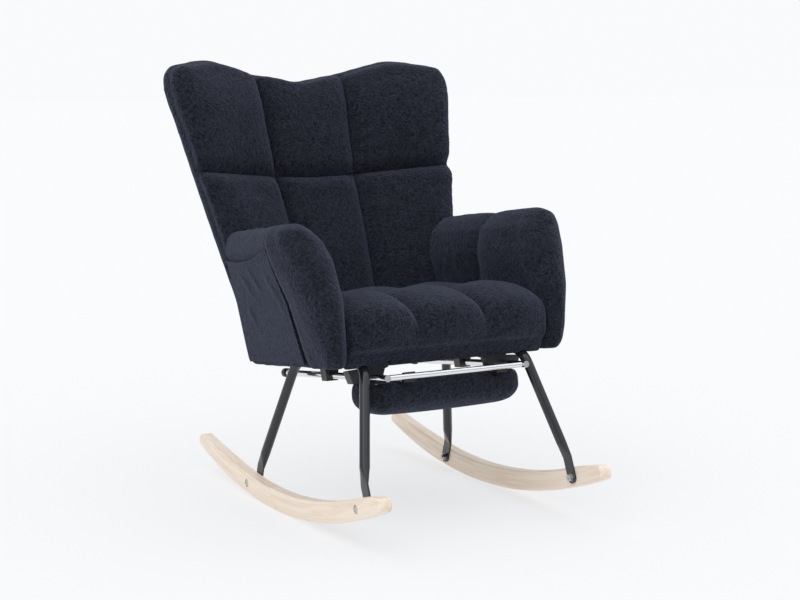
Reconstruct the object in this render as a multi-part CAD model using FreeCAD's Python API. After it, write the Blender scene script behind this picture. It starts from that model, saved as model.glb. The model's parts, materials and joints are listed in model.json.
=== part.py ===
import FreeCAD, Part
import math
import os

# A wingback rocking chair with a footrest that slides out from under the seat and turns over.
# The chair is drawn square to its seat board in millimetres: x to the sitter's left, y to the rear, z up.
# It is then leaned back on its runners to the angle at which it stands by itself.

V = FreeCAD.Vector

# Clearances
fit_gap = 0.3
soft_gap = 0.4
hole_gap = 0.2

# Runners
rocker_radius = 1180.0
rocker_centre_y = -80.0
rocker_front_y = -418.0
rocker_rear_y = 450.0
rocker_height = 43.0
rocker_end_height = 27.0
rocker_front_taper = 118.0
rocker_rear_taper = 220.0
rocker_thickness = 28.0
rocker_inner_x = 243.0
rocker_end_round = 11.0
rocker_edge_bevel = 2.5
rest_tilt = 7.5

# Leg frames, each one bent bar with flattened ends
leg_tube = 21.0
leg_bend = 45.0
side_tube_inset = 54.0
front_bend_y = -239.0
rear_bend_y = 69.0
front_bolt_y = -316.5
rear_bolt_y = 190.5
tab_thickness = 4.0
tab_width = 26.0
tab_top_z = 88.0
tab_blend = 34.0
plate_thickness = 4.0
plate_width = 74.0
plate_depth = 60.0
plate_weld = 2.0
front_plate_y = -125.0
rear_plate_y = 28.0
plate_screw_spread = 50.0

# Runner bolts
bolt_d = 8.0
bolt_head_d = 14.0
bolt_head_height = 3.5
nut_across = 13.0
nut_height = 6.5
washer_d = 17.0
washer_height = 1.6
bolt_tip = 2.5
bolt_recess_d = 18.0
bolt_recess_depth = 5.0

# Seat board and the boards that stand on its edges
board_z = 332.0
board_thickness = 15.0
board_half_width = 242.0
board_tail_half_width = 175.0
board_front_y = -225.0
board_shoulder_y = 120.0
side_board_thickness = 12.0
side_board_top_z = 530.0
side_board_drop = 8.0
side_board_front_inset = 28.0
side_board_rear_inset = 16.0
back_board_thickness = 12.0
back_board_half_width = 160.0
back_board_top_z = 870.0
back_board_depth = -3.5
back_board_drop = 6.0
dust_cover_thickness = 1.0
dust_cover_margin = 20.0

# Screws, drawn with flat sides
peg_sides = 6
screw_d = 6.0
screw_head_d = 11.0
screw_head_height = 3.0
plate_screw_length = 18.0
board_screw_d = 5.0
board_screw_head_d = 9.0
board_screw_head_height = 2.5
board_screw_length = 42.0
side_screw_y = (-150.0, 50.0)
back_screw_x = (-110.0, 110.0)
guide_screw_d = 4.0
guide_screw_head_d = 8.0
guide_screw_head_height = 2.2
guide_screw_length = 16.0
clip_screw_length = 12.0

# Seat padding
seat_side_gap = 6.4
seat_seam_x = 80.0
seat_hem_z = 310.0
seat_hem_y = -240.0
seat_fold_y = -260.0
seat_fold_z = 335.0
seat_front_y = -288.0
seat_front_z = 384.0
seat_brow_y = -258.0
seat_brow_z = 431.0
seat_row_seam_y = -62.0
seat_row_seam_z = 441.0
seat_crown_z = 458.0
seat_rear_y = 205.0
seat_rear_z = 430.0
seat_seam_dip = 0.4
seat_column_steps = (-1.0, -0.55, 0.0, 0.55, 1.0)
seat_column_dip = (10.0, 8.0, 13.0)
seat_edge_dip = (20.0, 14.0, 14.0)
seat_foam_top_z = 422.0
seat_foam_half_width = 200.0
seat_foam_front_y = -214.0
seat_foam_rear_y = 118.0

# Back padding, measured along a straight spine that leans back
back_foot_z = 322.0
back_foot_y = 188.0
back_ridge_z = 954.0
back_ridge_y = 372.0
back_seam_z = 727.0
back_lower_crown_z = 575.0
back_brow_drop = 24.0
back_nape_drop = 38.0
back_ridge_front_drop = 7.0
back_ridge_rear_drop = 11.0
back_ridge_fullness = 0.66
back_front_wall = 9.0
back_rear_wall = 8.0
back_hollow_drop = 22.0
back_hollow_reach = 0.94
back_hollow_bow = 3.0

# Arm padding
arm_hem_z = 314.0
arm_top_z = 615.0
arm_rear_y = 150.0
arm_rear_lean = 0.175
arm_inner_seam_y = -30.0
arm_panel_seam_y = -160.0
arm_panel_seam_lean = 0.21
arm_nose_length = 60.0
arm_nose_share = 0.9
arm_nose_bulge = 0.74
arm_nose_set_back = 0.3
arm_inner_splay = 0.4
arm_outer_puff = 0.6
arm_rear_puff = 0.8

# Side pockets
pocket_thickness = 3.0
pocket_foot_z = 320.0
pocket_mouth_front_z = 562.0
pocket_mouth_rear_z = 547.0
pocket_mouth_dip = 16.0
pocket_edge_inset = 4.0

# Footrest runners
rail_d = 14.0
rail_wall = 1.2
rail_inset = 23.5
rail_z = 288.0
rail_front_y = -285.0
rail_rear_y = 180.0
plug_cap = 2.5
plug_stub = 12.0
collar_d = 20.0
collar_length = 12.0
slide_travel = 190.0
slide_stop_gap = 2.0
cross_tube_d = 12.0
cross_tube_wall = 1.0
cross_tube_y = -277.0

# Guide blocks that carry the rails
guide_front_y = -190.0
guide_depth = 24.0
guide_foot_z = 277.0
guide_foot_width = 66.0
guide_shoulder_z = 303.0
guide_shoulder_width = 84.0
guide_shoulder_rise = 2.5
rear_guide_foot_width = 26.0
rear_guide_shoulder_width = 32.0
guide_neck_inner = 50.0
guide_neck_outer = 8.0
guide_flange_depth = 50.0
guide_flange_height = 4.0

# Footrest pad, stowed upside down under the rails
pad_leg_gap = 4.0
pad_front_y = -257.0
pad_rear_y = -131.0
pad_top_z = 276.0
pad_foot_z = 210.0
pad_corner = 46.0
pad_long_draw = 4.0
pad_short_swell = 1.0
pad_levels = ((1.0, 7.0), (0.85, 1.0), (0.48, 0.0), (0.27, 7.0), (0.1, 21.0), (0.0, 45.0))
pad_board_thickness = 12.0
pad_board_inset = 9.0
pad_foam_depth = 34.0
clip_inset = 74.0
clip_width = 26.0
clip_wall = 2.5
clip_grip = 2.5
clip_leaf = 2.5
clip_leaf_length = 60.0

# Places and levels that follow from the sizes above
side_tube_x = board_half_width - side_tube_inset
rail_x = side_tube_x - rail_inset
pad_half_width = side_tube_x - pad_leg_gap
clip_x = pad_half_width - clip_inset
seat_half_width = board_half_width - seat_side_gap
dust_cover_z = board_z - dust_cover_thickness
plate_z = dust_cover_z - plate_thickness
side_tube_z = plate_z + plate_weld - leg_tube / 2
board_top_z = board_z + board_thickness
tab_x = rocker_inner_x - tab_thickness / 2
guide_rear_y = rail_rear_y - collar_length - slide_travel - slide_stop_gap - guide_depth / 2
spine_slope = (back_ridge_y - back_foot_y) / (back_ridge_z - back_foot_z)


def line(start, end):
    return Part.LineSegment(start, end).toShape()


def arc(start, middle, end):
    return Part.Arc(start, middle, end).toShape()


def tangent_arc(start, along, end):
    """An arc that leaves start in a given direction and ends at end."""
    chord = end - start
    way = V(chord).normalize()
    aside = (along - way * along.dot(way)).normalize()
    rise = chord.Length / 2 * math.tan(along.getAngle(chord) / 2)
    return arc(start, (start + end) * 0.5 + aside * rise, end)


def box(x0, x1, y0, y1, z0, z1):
    return Part.makeBox(x1 - x0, y1 - y0, z1 - z0, V(x0, y0, z0))


def rod(start, end, radius):
    along = end - start
    return Part.makeCylinder(radius, along.Length, start, along)


def peg(start, end, radius):
    """A straight bar with flat sides."""
    along = end - start
    side = along.cross(V(along.y, along.z, along.x)).normalize()
    up = along.cross(side).normalize()
    turns = [2 * math.pi * step / peg_sides for step in range(peg_sides)]
    corners = [start + side * (radius * math.cos(turn)) + up * (radius * math.sin(turn)) for turn in turns]
    return prism(corners, along)


def pipe(start, end, radius, wall):
    return rod(start, end, radius).cut(rod(start, end, radius - wall))


def prism(points, along):
    """Extrude a flat outline given by its corners."""
    return Part.Face(Part.makePolygon(points + points[:1])).extrude(along)


def mirrored(shape):
    return shape.mirror(V(0, 0, 0), V(1, 0, 0))


def joined(shapes):
    return shapes[0].multiFuse(shapes[1:]).removeSplitter()


def mix(first, second, share):
    return first + (second - first) * share


def mix_all(first, second, share):
    return [mix(a, b, share) for a, b in zip(first, second)]


def solid_of(shape):
    """The one solid in a result that may come wrapped in a compound."""
    return max(shape.Solids, key=lambda piece: piece.Volume)


def loft(sections):
    return Part.makeLoft(sections, True, True)


# Runners


def rocker_spot(y, height):
    """A point of a runner's inner face, at a height square to its lower arc."""
    turn = math.asin((y - rocker_centre_y) / rocker_radius)
    radius = rocker_radius - height
    y = rocker_centre_y + radius * math.sin(turn)
    return V(rocker_inner_x, y, rocker_radius - radius * math.cos(turn))


def rocker_way(y):
    """The direction of a runner's arc towards the rear."""
    turn = math.asin((y - rocker_centre_y) / rocker_radius)
    return V(0, math.cos(turn), math.sin(turn))


def bolt_z(y):
    """The height of a bolt, half way up the runner."""
    middle = rocker_radius - rocker_height / 2
    return rocker_radius - math.sqrt(middle ** 2 - (y - rocker_centre_y) ** 2)


def rocker():
    """A runner of even height that thins towards its two rounded ends."""
    front_y = rocker_front_y + rocker_front_taper
    rear_y = rocker_rear_y - rocker_rear_taper
    low_front = rocker_spot(rocker_front_y, 0)
    low_rear = rocker_spot(rocker_rear_y, 0)
    high_rear = rocker_spot(rocker_rear_y, rocker_end_height)
    full_rear = rocker_spot(rear_y, rocker_height)
    full_front = rocker_spot(front_y, rocker_height)
    high_front = rocker_spot(rocker_front_y, rocker_end_height)
    outline = Part.Wire([
        arc(low_front, rocker_spot(rocker_centre_y, 0), low_rear),
        line(low_rear, high_rear),
        tangent_arc(full_rear, rocker_way(rear_y), high_rear),
        arc(full_rear, rocker_spot(rocker_centre_y, rocker_height), full_front),
        tangent_arc(full_front, -rocker_way(front_y), high_front),
        line(high_front, low_front),
    ])
    bar = Part.Face(outline).extrude(V(rocker_thickness, 0, 0))
    corners = (low_front, low_rear, high_rear, high_front)
    ends = [
        edge for edge in bar.Edges
        if edge.BoundBox.XLength > rocker_thickness / 2
        and min((edge.Vertexes[0].Point - corner).cross(V(1, 0, 0)).Length for corner in corners) < fit_gap
    ]
    bar = bar.makeFillet(rocker_end_round, ends)
    rims = [edge for edge in bar.Edges if edge.BoundBox.XLength < 0.01]
    bar = bar.makeChamfer(rocker_edge_bevel, rims)
    for spot in bolt_spots():
        outer = spot + V(rocker_thickness, 0, 0)
        hole = peg(spot, outer, bolt_d / 2 + hole_gap)
        recess = rod(outer - V(bolt_recess_depth, 0, 0), outer, bolt_recess_d / 2)
        bar = bar.cut([hole, recess])
    return solid_of(bar)


# Leg frames


def tab_top(bolt_y, bend_y):
    """The middle of a flattened end where it starts to round out into the tube."""
    share = (tab_top_z - bolt_z(bolt_y)) / (side_tube_z - bolt_z(bolt_y))
    return V(tab_x, bolt_y + (bend_y - bolt_y) * share, tab_top_z)


def leg_run(bolt_y, bend_y):
    """The top of a flattened end, the start of the round tube above it and the bend point."""
    foot = tab_top(bolt_y, bend_y)
    bend = V(side_tube_x, bend_y, side_tube_z)
    lean = (bend - foot).normalize()
    return foot, foot + lean * tab_blend, bend


def rounded_path(points, radius):
    """Straight runs joined by tangent arcs."""
    edges = []
    start = points[0]
    for before, corner, after in zip(points, points[1:], points[2:]):
        into = (before - corner).normalize()
        out = (after - corner).normalize()
        half_turn = into.getAngle(out) / 2
        reach = radius / math.tan(half_turn)
        first = corner + into * reach
        last = corner + out * reach
        middle_way = (into + out).normalize()
        middle = corner + middle_way * (radius / math.sin(half_turn) - radius)
        edges.append(line(start, first))
        edges.append(arc(first, middle, last))
        start = last
    edges.append(line(start, points[-1]))
    return Part.Wire(edges)


def swept(path, radius):
    first = path.Edges[0]
    start = first.Vertexes[0].Point
    along = first.tangentAt(first.FirstParameter)
    ring = Part.Wire(Part.makeCircle(radius, start, along))
    return path.makePipeShell([ring], True, False)


def quarter_ring(centre, along, across, radius):
    """A circle as four arcs that start on the corners of a flattened end."""
    up = along.cross(across).normalize()
    side = up.cross(along).normalize()

    def spot(step):
        turn = math.radians(45 + 45 * step)
        return centre + side * (radius * math.cos(turn)) + up * (radius * math.sin(turn))

    return Part.Wire([arc(spot(step), spot(step + 1), spot(step + 2)) for step in (0, 2, 4, 6)])


def flat_ring(centre, along, across, half_across, half_up):
    up = along.cross(across).normalize()
    corners = [
        centre + across * (half_across * a) + up * (half_up * b)
        for a, b in ((1, 1), (-1, 1), (-1, -1), (1, -1))
    ]
    return Part.makePolygon(corners + corners[:1])


def leg_tab(bolt_y, bend_y):
    """A flattened tube end with its bolt hole, and the blend up into the round tube."""
    foot, tube_start, bend = leg_run(bolt_y, bend_y)
    bolt = V(tab_x, bolt_y, bolt_z(bolt_y))
    slope = (foot - bolt).normalize()
    lean = (bend - foot).normalize()
    across = V(1, 0, 0)
    half = tab_thickness / 2
    wide = slope.cross(across).normalize() * (tab_width / 2)
    inward = across * -half
    strap = prism([bolt + inward + wide, foot + inward + wide, foot + inward - wide, bolt + inward - wide],
                  across * tab_thickness)
    end = rod(bolt - across * half, bolt + across * half, tab_width / 2)
    blend = loft([
        flat_ring(foot, slope, across, half, tab_width / 2),
        quarter_ring(tube_start, lean, across, leg_tube / 2),
    ])
    hole = peg(bolt - across * tab_thickness, bolt + across * tab_thickness, bolt_d / 2 + hole_gap)
    return joined([strap, end, blend]).cut(hole)


def leg_sweep(grow):
    front = leg_run(front_bolt_y, front_bend_y)
    rear = leg_run(rear_bolt_y, rear_bend_y)
    path = rounded_path([front[1], front[2], rear[2], rear[1]], leg_bend)
    return swept(path, leg_tube / 2 + grow)


def leg_frame():
    tube = leg_sweep(0)
    plates = [mount_plate(y) for y in (front_plate_y, rear_plate_y)]
    tabs = [leg_tab(front_bolt_y, front_bend_y), leg_tab(rear_bolt_y, rear_bend_y)]
    return solid_of(joined([tube] + plates + tabs))


def plate_screw_spots(y):
    return [V(side_tube_x + step * plate_screw_spread / 2, y, plate_z) for step in (-1, 1)]


def mount_plate(y):
    """A plate welded on the tube, through which the frame is screwed to the seat board."""
    plate = box(
        side_tube_x - plate_width / 2, side_tube_x + plate_width / 2,
        y - plate_depth / 2, y + plate_depth / 2,
        plate_z, plate_z + plate_thickness,
    )
    for spot in plate_screw_spots(y):
        plate = plate.cut(peg(spot, spot + V(0, 0, plate_thickness), screw_d / 2 + hole_gap))
    return plate


# Fasteners


def screw(head_seat, along, shank_d, head_d, head_height, length):
    """A screw whose head stands outside head_seat and whose shank runs along a direction from it."""
    way = V(along).normalize()
    shank = peg(head_seat, head_seat + way * length, shank_d / 2)
    head = peg(head_seat - way * head_height, head_seat, head_d / 2)
    return joined([shank, head])


def bolt_spots():
    return [V(rocker_inner_x, y, bolt_z(y)) for y in (front_bolt_y, rear_bolt_y)]


def rocker_bolt(spot):
    """A bolt with its head in a recess of the runner's outer face."""
    head_seat = spot + V(rocker_thickness - bolt_recess_depth, 0, 0)
    tip = spot - V(tab_thickness + washer_height + nut_height + bolt_tip, 0, 0)
    head = rod(head_seat, head_seat + V(bolt_head_height, 0, 0), bolt_head_d / 2)
    return joined([peg(tip, head_seat, bolt_d / 2), head])


def rocker_washer(spot):
    face = spot - V(tab_thickness, 0, 0)
    ring = peg(face, face - V(washer_height, 0, 0), washer_d / 2)
    return ring.cut(peg(face, face - V(washer_height, 0, 0), bolt_d / 2 + hole_gap))


def rocker_nut(spot):
    face = spot - V(tab_thickness + washer_height, 0, 0)
    reach = nut_across / math.sqrt(3)
    corners = [
        face + V(0, reach * math.cos(math.radians(60 * n)), reach * math.sin(math.radians(60 * n)))
        for n in range(6)
    ]
    body = prism(corners, V(-nut_height, 0, 0))
    return body.cut(peg(face, face - V(nut_height, 0, 0), bolt_d / 2 + hole_gap))


def both_sides(shapes):
    return Part.makeCompound(shapes + [mirrored(shape) for shape in shapes])


def plate_screws():
    screws = [
        screw(spot, V(0, 0, 1), screw_d, screw_head_d, screw_head_height, plate_screw_length)
        for y in (front_plate_y, rear_plate_y)
        for spot in plate_screw_spots(y)
    ]
    return both_sides(screws)


# Boards


def spine_y(z):
    return back_foot_y + spine_slope * (z - back_foot_z)


def back_board_face(z):
    """The y of the back board's front face at a height."""
    return spine_y(z) + back_board_depth


def board_outline(grow):
    """The seat board from above, with a narrower tail under the back."""
    wide = board_half_width + grow
    tail = board_tail_half_width + grow
    rear = back_board_face(board_top_z) + board_thickness
    return [
        V(-wide, board_front_y - grow, board_z - grow),
        V(wide, board_front_y - grow, board_z - grow),
        V(wide, board_shoulder_y + grow, board_z - grow),
        V(tail, board_shoulder_y + grow, board_z - grow),
        V(tail, rear, board_z - grow),
        V(-tail, rear, board_z - grow),
        V(-tail, board_shoulder_y + grow, board_z - grow),
        V(-wide, board_shoulder_y + grow, board_z - grow),
    ]


def seat_slab(grow):
    """The seat board before drilling, its tail sloped to lie against the back board."""
    slab = prism(board_outline(grow), V(0, 0, board_thickness + 2 * grow))
    return slab.cut(back_slab(0))


def back_slab(grow):
    low = board_z - back_board_drop - grow
    high = back_board_top_z + grow
    half = back_board_half_width + grow
    thick = back_board_thickness + 2 * grow
    corners = [
        V(-half, back_board_face(low) - grow, low),
        V(-half, back_board_face(low) - grow + thick, low),
        V(-half, back_board_face(high) - grow + thick, high),
        V(-half, back_board_face(high) - grow, high),
    ]
    return prism(corners, V(2 * half, 0, 0))


def side_slab(grow):
    """A board standing against the seat board's edge inside an arm."""
    low = board_z - side_board_drop - grow
    high = side_board_top_z + grow
    rear = board_shoulder_y - side_board_rear_inset + grow
    inner = board_half_width - grow
    brow = (low + high) / 2
    corners = [
        V(inner, arm_front(low) + side_board_front_inset - grow, low),
        V(inner, rear, low),
        V(inner, rear, high),
        V(inner, arm_front(high) + side_board_front_inset - grow, high),
        V(inner, arm_front(brow) + side_board_front_inset - grow, brow),
    ]
    return prism(corners, V(side_board_thickness + 2 * grow, 0, 0))


def back_screw_spots():
    z = board_z + board_thickness / 2
    y = back_board_face(z) + back_board_thickness
    return [V(x, y, z) for x in back_screw_x]


def side_screw_spots():
    x = board_half_width + side_board_thickness
    z = board_z + board_thickness / 2
    return [V(x, y, z) for y in side_screw_y]


def board_screw(spot, along):
    return screw(spot, along, board_screw_d, board_screw_head_d, board_screw_head_height, board_screw_length)


def board_hole(spot, along, extra):
    """Room for a screw, with its head, in the boards and the padding round it."""
    way = V(along).normalize()
    shank = peg(spot, spot + way * (board_screw_length + extra), board_screw_d / 2 + extra)
    head = peg(spot - way * (board_screw_head_height + extra), spot, board_screw_head_d / 2 + extra)
    return shank.fuse(head)


def side_holes():
    return [board_hole(spot, V(-1, 0, 0), hole_gap) for spot in side_screw_spots()]


def back_holes():
    return [board_hole(spot, V(0, -1, 0), hole_gap) for spot in back_screw_spots()]


def up_hole(spot, depth, width):
    return peg(spot, spot + V(0, 0, depth + hole_gap), width / 2 + hole_gap)


def under_holes():
    """Holes for the screws that come up from below."""
    holes = []
    for y in (front_plate_y, rear_plate_y):
        holes += [up_hole(spot, plate_screw_length, screw_d) for spot in plate_screw_spots(y)]
    for y in (guide_front_y, guide_rear_y):
        holes += [up_hole(spot, guide_screw_length, guide_screw_d) for spot in guide_screw_spots(y)]
    return holes + [mirrored(hole) for hole in holes]


def seat_board():
    holes = back_holes() + side_holes() + [mirrored(hole) for hole in side_holes()]
    return solid_of(seat_slab(0).cut(holes + under_holes()))


def dust_cover():
    """A thin cloth under the seat board, pierced by the screws."""
    half = board_half_width - dust_cover_margin
    front = board_front_y + dust_cover_margin
    rear = board_shoulder_y - dust_cover_margin
    return solid_of(box(-half, half, front, rear, dust_cover_z, board_z).cut(under_holes()))


# Back padding


class BackRib:
    """A flat section through the back, from its foot to its ridge.

    x and wrap are the spine's place sideways and forwards, at the foot and at the ridge. turn swings
    the section round with the wing. front, seam and rear are depths before and behind the spine."""

    def __init__(self, x, wrap, turn, front, seam, rear, ridge_z, seam_z):
        self.x = x
        self.wrap = wrap
        self.turn = turn
        self.front = front
        self.seam = seam
        self.rear = rear
        self.ridge_z = ridge_z
        self.seam_z = seam_z

    def spot(self, depth, z):
        share = (z - back_foot_z) / (back_ridge_z - back_foot_z)
        x = mix(self.x[0], self.x[1], share)
        wrap = mix(self.wrap[0], self.wrap[1], share)
        turn = math.radians(self.turn)
        return V(x + depth * math.sin(turn), spine_y(z) - wrap + depth * math.cos(turn), z)

    def wire(self, grow):
        foot_front, lower_crown, upper_crown, top_front = [depth - grow for depth in self.front]
        seam = self.seam - grow
        top_rear, middle_rear, foot_rear = [depth + grow for depth in self.rear]
        foot_z = back_foot_z - grow
        ridge_z = self.ridge_z + grow
        brow_z = ridge_z - back_brow_drop
        nape_z = ridge_z - back_nape_drop
        crown_z = (self.seam_z + brow_z) / 2
        p_foot = self.spot(foot_front, foot_z)
        p_seam = self.spot(seam, self.seam_z)
        p_brow = self.spot(top_front, brow_z)
        p_ridge = self.spot(0, ridge_z)
        p_nape = self.spot(top_rear, nape_z)
        p_heel = self.spot(foot_rear, foot_z)
        front_turn = self.spot(top_front * back_ridge_fullness, ridge_z - back_ridge_front_drop)
        rear_turn = self.spot(top_rear * back_ridge_fullness, ridge_z - back_ridge_rear_drop)
        return Part.Wire([
            arc(p_foot, self.spot(lower_crown, back_lower_crown_z), p_seam),
            arc(p_seam, self.spot(upper_crown, crown_z), p_brow),
            arc(p_brow, front_turn, p_ridge),
            arc(p_ridge, rear_turn, p_nape),
            arc(p_nape, self.spot(middle_rear, back_lower_crown_z), p_heel),
            line(p_heel, p_foot),
        ])

    def mirrored(self):
        x = [-value for value in self.x]
        return BackRib(x, self.wrap, -self.turn, self.front, self.seam, self.rear, self.ridge_z, self.seam_z)

    def towards(self, other, place, swell):
        """A rib part of the way to another, with its place and its fullness set apart."""
        return BackRib(
            mix_all(self.x, other.x, place),
            mix_all(self.wrap, other.wrap, place),
            mix(self.turn, other.turn, place),
            mix_all(self.front, other.front, swell),
            mix(self.seam, other.seam, swell),
            mix_all(self.rear, other.rear, swell),
            mix(self.ridge_z, other.ridge_z, place),
            mix(self.seam_z, other.seam_z, place),
        )


centre_rib = BackRib((0, 0), (0, 0), 0, (-26, -38, -38, -30), -19, (49, 53, 40), back_ridge_z, back_seam_z)
seam_rib = BackRib((80, 112), (5, 7), 8, (-24, -23, -22, -20), -13, (49, 52, 39), 976, 729)
wing_rib = BackRib((151, 231), (24, 36), 17, (-24, -37, -40, -32), -18, (46, 48, 36), 1004, 734)
edge_rib = BackRib((229, 335), (63, 82), 27, (-20, -27, -35, -28), -20, (36, 36, 26), 984, 742)
tip_rib = BackRib((245, 356), (70, 90), 30, (-7, -9, -12, -9), -8, (13, 13, 10), 947, 744)

column_side = seam_rib.towards(centre_rib, 0.5, 0.75)
column_ribs = [seam_rib.mirrored(), column_side.mirrored(), centre_rib, column_side, seam_rib]
wing_ribs = [
    seam_rib,
    seam_rib.towards(wing_rib, 0.45, 0.75),
    wing_rib,
    wing_rib.towards(edge_rib, 0.55, 0.35),
    edge_rib,
    edge_rib.towards(tip_rib, 0.6, 0.4),
    tip_rib,
]


def back_form(grow):
    """The whole outside of the back: a middle column and two wings, creased where they are sewn."""
    middle = loft([rib.wire(grow) for rib in column_ribs])
    wing = loft([rib.wire(grow) for rib in wing_ribs])
    return solid_of(joined([middle, wing, mirrored(wing)]))


def hollow_rib(rib, reach):
    """A rib of the space inside the back, level with the thinnest front padding."""
    x = [value * reach for value in rib.x]
    depth = seam_rib.seam + back_front_wall
    rear = [value - back_rear_wall for value in rib.rear]
    top = min(rib.ridge_z, back_ridge_z) - back_hollow_drop
    return BackRib(x, rib.wrap, rib.turn, [depth] * 4, depth + back_hollow_bow, rear, top, rib.seam_z)


def back_hollow():
    """The space between the front padding and the rear cloth, open at the foot."""
    inner = hollow_rib(seam_rib, 1.0)
    outer = hollow_rib(edge_rib, back_hollow_reach)
    return loft([rib.wire(0) for rib in (outer.mirrored(), inner.mirrored(), inner, outer)])


def back_cover():
    room = [back_slab(fit_gap), seat_slab(fit_gap)]
    room += [board_hole(spot, V(0, -1, 0), fit_gap) for spot in back_screw_spots()]
    return solid_of(back_form(0).cut([back_hollow()] + room))


# Seat padding


def seat_rib(x, dip):
    """A section through the seat at x: hem, fold, rolled front, front tuft and rear tuft.

    dip says how far the front, the brow and the crowns are drawn in."""
    front, brow_drop, crown_drop = dip
    seam_drop = crown_drop * seat_seam_dip
    hem = V(x, seat_hem_y, seat_hem_z)
    fold = V(x, seat_fold_y, seat_fold_z)
    nose = V(x, seat_front_y + front, seat_front_z)
    brow = V(x, seat_brow_y + front, seat_brow_z - brow_drop)
    row_seam = V(x, seat_row_seam_y, seat_row_seam_z - seam_drop)
    front_crown = V(x, (brow.y + row_seam.y) / 2, seat_crown_z - crown_drop)
    tail = V(x, seat_rear_y, seat_rear_z - seam_drop)
    rear_crown = V(x, (row_seam.y + tail.y) / 2, seat_crown_z - crown_drop)
    heel = V(x, seat_rear_y, seat_hem_z)
    return Part.Wire([
        line(heel, hem),
        line(hem, fold),
        arc(fold, nose, brow),
        arc(brow, front_crown, row_seam),
        arc(row_seam, rear_crown, tail),
        line(tail, heel),
    ])


def seat_column(first_x, last_x, first_dip, last_dip):
    """A stuffed column of the seat, full in the middle and drawn in at its two seams."""
    ribs = []
    for step in seat_column_steps:
        dip = first_dip if step < 0 else last_dip
        x = mix(first_x, last_x, (1 + step) / 2)
        ribs.append(seat_rib(x, [value * step ** 2 for value in dip]))
    return loft(ribs)


def seat_form():
    middle = seat_column(-seat_seam_x, seat_seam_x, seat_column_dip, seat_column_dip)
    side = seat_column(seat_seam_x, seat_half_width, seat_column_dip, seat_edge_dip)
    return solid_of(joined([middle, side, mirrored(side)]))


def seat_foam_block(grow):
    half = seat_foam_half_width + grow
    return box(
        -half, half, seat_foam_front_y - grow, seat_foam_rear_y + grow,
        board_top_z - grow, seat_foam_top_z + grow,
    )


def seat_cover():
    under = box(
        -2 * board_half_width, 2 * board_half_width,
        board_front_y - fit_gap, 2 * seat_rear_y, 0, board_top_z + fit_gap,
    )
    room = [under, seat_foam_block(fit_gap), back_form(soft_gap)]
    for shape in (arm_form(soft_gap), leg_sweep(soft_gap)):
        room += [shape, mirrored(shape)]
    return solid_of(seat_form().cut(room))


# Arm padding


class ArmLevel:
    """A level section through the sitter's left arm.

    inner and outer are measured from the seat board's edge."""

    def __init__(self, z, front, inner, outer, splay, puff):
        self.z = z
        self.front = front
        self.inner = board_half_width + inner
        self.outer = board_half_width + outer
        self.splay = splay
        self.puff = puff


arm_levels = [
    ArmLevel(arm_hem_z, -264, -6, 32, 18, 1.5),
    ArmLevel(330, -278, -6, 39, 20, 3),
    ArmLevel(362, -285, -6, 45, 23, 5),
    ArmLevel(450, -283, -8, 61, 32, 9),
    ArmLevel(530, -250, -13, 84, 43, 11),
    ArmLevel(578, -227, -1, 92, 45, 10),
    ArmLevel(602, -215, 23, 85, 43, 6),
    ArmLevel(arm_top_z, -184, 38, 63, 36, 2),
]


def arm_front(z):
    """The y of the arm's front at a height, between the levels."""
    for below, above in zip(arm_levels, arm_levels[1:]):
        if below.z <= z <= above.z:
            return mix(below.front, above.front, (z - below.z) / (above.z - below.z))


def arm_panel_seam(z):
    return arm_panel_seam_y + arm_panel_seam_lean * (z - arm_hem_z)


def arm_rear(z):
    return arm_rear_y + arm_rear_lean * (z - arm_hem_z)


def arm_wire(level, grow):
    rise = 0
    if level is arm_levels[0]:
        rise = -grow
    if level is arm_levels[-1]:
        rise = grow
    z = level.z + rise
    front = level.front - grow
    inner = level.inner - grow
    outer = level.outer + grow
    middle = (inner + outer) / 2
    nose = min(arm_nose_length, (outer - inner) * arm_nose_share)
    rear = arm_rear(level.z) + grow
    panel_seam = arm_panel_seam(level.z)
    rear_outer = outer - level.splay
    rear_inner = inner - level.splay * arm_inner_splay
    brow_y = front + nose
    turn_y = front + nose * arm_nose_set_back
    turn_x = (outer - middle) * arm_nose_bulge
    a_rear = V(rear_outer, rear, z)
    b_seam = V(mix(rear_outer, outer, (panel_seam - rear) / (brow_y - rear)), panel_seam, z)
    c_brow = V(outer, brow_y, z)
    d_nose = V(middle, front, z)
    e_brow = V(inner, brow_y, z)
    f_seam = V((inner + rear_inner) / 2, arm_inner_seam_y, z)
    g_rear = V(rear_inner, rear, z)
    outer_puff = (b_seam + c_brow) * 0.5 + V(level.puff * arm_outer_puff, 0, 0)
    front_tuft = (e_brow + f_seam) * 0.5 - V(level.puff, 0, 0)
    rear_tuft = (f_seam + g_rear) * 0.5 - V(level.puff * arm_rear_puff, 0, 0)
    return Part.Wire([
        line(a_rear, b_seam),
        arc(b_seam, outer_puff, c_brow),
        arc(c_brow, V(middle + turn_x, turn_y, z), d_nose),
        arc(d_nose, V(middle - turn_x, turn_y, z), e_brow),
        arc(e_brow, front_tuft, f_seam),
        arc(f_seam, rear_tuft, g_rear),
        line(g_rear, a_rear),
    ])


def arm_form(grow):
    return solid_of(loft([arm_wire(level, grow) for level in arm_levels]))


def arm_cover():
    room = [side_slab(fit_gap), seat_slab(fit_gap), back_form(soft_gap)]
    room += [board_hole(spot, V(-1, 0, 0), fit_gap) for spot in side_screw_spots()]
    return solid_of(arm_form(0).cut(room))


# Side pockets


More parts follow.
